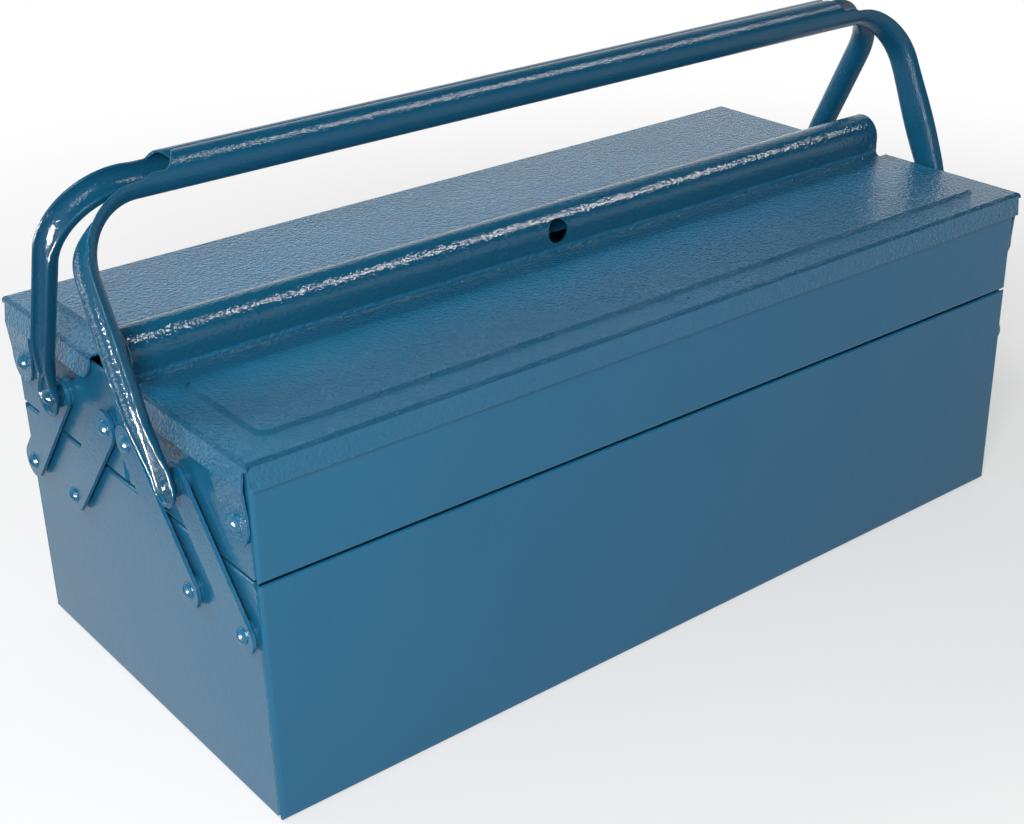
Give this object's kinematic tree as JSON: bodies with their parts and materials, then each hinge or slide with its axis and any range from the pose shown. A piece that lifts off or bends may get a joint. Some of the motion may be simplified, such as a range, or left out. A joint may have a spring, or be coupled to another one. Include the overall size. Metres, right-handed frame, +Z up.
{
  "type": "cantilever tool box",
  "caption": "Portable steel tool box with a deep base, swing-out trays on parallel arms, hinged lids and nesting U-shaped carrying handles.",
  "frame": {"origin": "centre of the underside of the base box", "axes": "+X along the box, -Y towards its front, +Z up"},
  "size_m": [0.458, 0.2048, 0.2373],
  "materials": {
    "wall_enamel": "glossy stoved enamel with orange peel",
    "tray_enamel": "glossy stoved enamel with orange peel",
    "lid_enamel": "glossy stoved enamel with orange peel",
    "arm_enamel": "glossy stoved enamel",
    "handle_enamel": "glossy stoved enamel",
    "rivet_enamel": "glossy stoved enamel over steel rivets"
  },
  "bodies": {
    "base": {"base_box": "wall_enamel", "base_rivets": "rivet_enamel", "base_washers": "rivet_enamel"},
    "front_outer_arms": {"front_outer_arm_left": "arm_enamel", "front_outer_arm_right": "arm_enamel"},
    "front_inner_arms": {"front_inner_arm_left": "arm_enamel", "front_inner_arm_right": "arm_enamel"},
    "front_tray_body": {"front_tray": "tray_enamel", "front_tray_dividers": "tray_enamel", "front_tray_rivets": "rivet_enamel", "front_tray_washers": "rivet_enamel", "front_handle_rivets": "rivet_enamel", "front_lid_rivets": "rivet_enamel"},
    "front_lid_body": {"front_lid": "lid_enamel"},
    "front_handle_body": {"front_handle": "handle_enamel", "front_handle_spacers": "rivet_enamel"},
    "rear_outer_arms": {"rear_outer_arm_left": "arm_enamel", "rear_outer_arm_right": "arm_enamel"},
    "rear_inner_arms": {"rear_inner_arm_left": "arm_enamel", "rear_inner_arm_right": "arm_enamel"},
    "rear_tray_body": {"rear_tray": "tray_enamel", "rear_tray_dividers": "tray_enamel", "rear_tray_rivets": "rivet_enamel", "rear_tray_washers": "rivet_enamel", "rear_handle_rivets": "rivet_enamel", "rear_lid_rivets": "rivet_enamel"},
    "rear_lid_body": {"rear_lid": "lid_enamel"},
    "rear_handle_body": {"rear_handle": "handle_enamel", "rear_handle_spacers": "rivet_enamel"}
  },
  "joints": [
    {"name": "front_arm_swing", "type": "hinge", "parent": "base", "child": "front_outer_arms", "pos_m": [0, -0.09, 0.0816], "axis": [1, 0, 0], "range_deg": [0, 81]},
    {"name": "front_inner_arm_follow", "type": "hinge", "parent": "base", "child": "front_inner_arms", "pos_m": [0, -0.0495, 0.0816], "axis": [1, 0, 0], "range_deg": [0, 81]},
    {"name": "front_tray_level", "type": "hinge", "parent": "front_outer_arms", "child": "front_tray_body", "pos_m": [0, -0.0495, 0.1287], "axis": [1, 0, 0], "range_deg": [-81, 0]},
    {"name": "front_lid_hinge", "type": "hinge", "parent": "front_tray_body", "child": "front_lid_body", "pos_m": [0, -0.09, 0.1287], "axis": [1, 0, 0], "range_deg": [0, 100]},
    {"name": "front_handle_swing", "type": "hinge", "parent": "front_tray_body", "child": "front_handle_body", "pos_m": [0, -0.0495, 0.1287], "axis": [1, 0, 0], "range_deg": [0, 115]},
    {"name": "rear_arm_swing", "type": "hinge", "parent": "base", "child": "rear_outer_arms", "pos_m": [0, 0.09, 0.0816], "axis": [-1, 0, 0], "range_deg": [0, 81]},
    {"name": "rear_inner_arm_follow", "type": "hinge", "parent": "base", "child": "rear_inner_arms", "pos_m": [0, 0.0495, 0.0816], "axis": [-1, 0, 0], "range_deg": [0, 81]},
    {"name": "rear_tray_level", "type": "hinge", "parent": "rear_outer_arms", "child": "rear_tray_body", "pos_m": [0, 0.0495, 0.1287], "axis": [-1, 0, 0], "range_deg": [-81, 0]},
    {"name": "rear_lid_hinge", "type": "hinge", "parent": "rear_tray_body", "child": "rear_lid_body", "pos_m": [0, 0.09, 0.1287], "axis": [-1, 0, 0], "range_deg": [0, 100]},
    {"name": "rear_handle_swing", "type": "hinge", "parent": "rear_tray_body", "child": "rear_handle_body", "pos_m": [0, 0.0495, 0.1287], "axis": [-1, 0, 0], "range_deg": [0, 115]}
  ],
  "couplings": [
    {"joint": "front_inner_arm_follow", "follows": "front_arm_swing", "ratio": 1},
    {"joint": "front_tray_level", "follows": "front_arm_swing", "ratio": -1},
    {"joint": "rear_inner_arm_follow", "follows": "rear_arm_swing", "ratio": 1},
    {"joint": "rear_tray_level", "follows": "rear_arm_swing", "ratio": -1}
  ]
}
